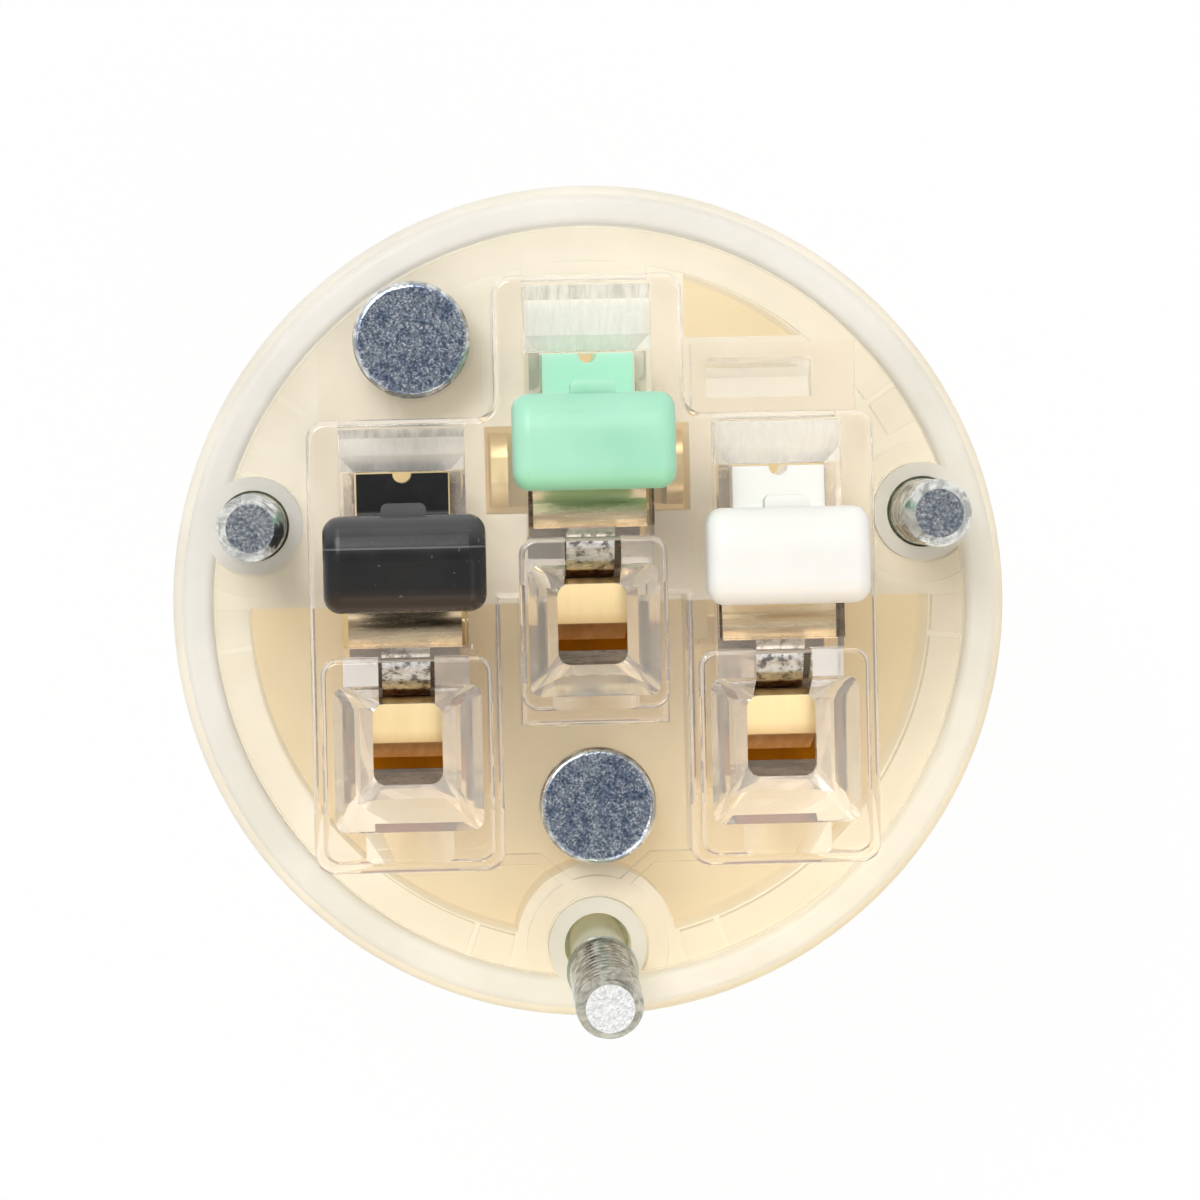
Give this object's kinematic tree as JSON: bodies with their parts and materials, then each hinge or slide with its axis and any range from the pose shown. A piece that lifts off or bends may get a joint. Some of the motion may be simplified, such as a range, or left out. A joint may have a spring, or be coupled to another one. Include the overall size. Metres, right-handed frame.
{
  "type": "straight blade plug",
  "caption": "Round grounded straight blade plug seen without its rear housing, with a clear terminal cover, wire funnels, push-button spring clamps and captive screws.",
  "frame": {"origin": "centre of the flat blade face, where the plug meets a receptacle", "axes": "+Z out of the wiring side, away from the blades; +Y from the blades toward the ground pin; +X toward the neutral side"},
  "size_m": [0.04, 0.04, 0.0473],
  "materials": {
    "nylon": "translucent natural nylon, smooth moulded",
    "clear": "clear colourless polycarbonate, gloss moulded",
    "black": "black moulded nylon, satin",
    "white": "white moulded nylon, satin",
    "green": "mint green moulded nylon, satin",
    "spring_steel": "stainless spring strip, rolled",
    "brass": "plain rolled brass",
    "zinc": "zinc plated steel, bright"
  },
  "bodies": {
    "plug": {"front_body": "nylon", "terminal_cover": "clear", "hot_spring": "spring_steel", "neutral_spring": "spring_steel", "ground_spring": "spring_steel", "hot_terminal": "brass", "neutral_terminal": "brass", "ground_terminal": "brass", "hot_blade": "brass", "neutral_blade": "brass", "ground_pin": "brass", "cover_rivet_upper": "zinc", "cover_rivet_lower": "zinc", "screw_left": "zinc", "screw_right": "zinc", "screw_bottom": "zinc"},
    "hot_push": {"hot_button": "black"},
    "neutral_push": {"neutral_button": "white"},
    "ground_push": {"ground_button": "green"}
  },
  "joints": [
    {"name": "hot_button_press", "type": "slide", "parent": "plug", "child": "hot_push", "axis": [0, 0, -1], "range_m": [0, 0.003]},
    {"name": "neutral_button_press", "type": "slide", "parent": "plug", "child": "neutral_push", "axis": [0, 0, -1], "range_m": [0, 0.003]},
    {"name": "ground_button_press", "type": "slide", "parent": "plug", "child": "ground_push", "axis": [0, 0, -1], "range_m": [0, 0.003]}
  ]
}
